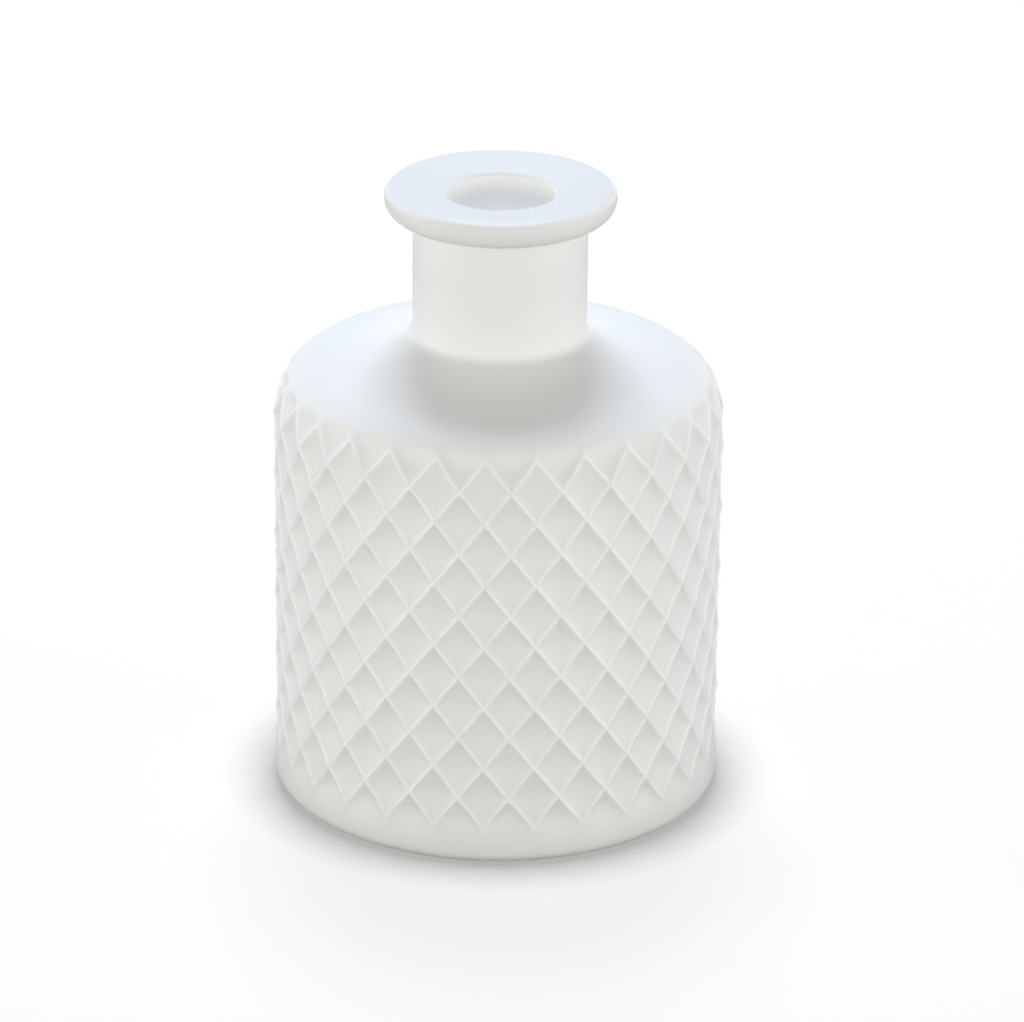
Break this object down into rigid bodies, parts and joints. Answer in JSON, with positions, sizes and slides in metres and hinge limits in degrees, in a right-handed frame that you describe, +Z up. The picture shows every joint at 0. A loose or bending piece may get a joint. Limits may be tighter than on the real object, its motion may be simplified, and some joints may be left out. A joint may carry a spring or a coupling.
{
  "type": "diffuser bottle",
  "caption": "Round frosted glass diffuser bottle with a wide flat lip, short neck, sloping shoulder and straight sides covered in a recessed diamond lattice.",
  "frame": {"origin": "centre of the base, on the plane that the bottle stands on", "axes": "+Z up along the bottle's axis, out of the mouth; -Y passes through the middle of a column of diamonds"},
  "size_m": [0.072, 0.072, 0.101],
  "materials": {
    "frosted_glass": "frosted, acid etched"
  },
  "bodies": {
    "root": {"bottle": "frosted_glass"}
  },
  "joints": []
}
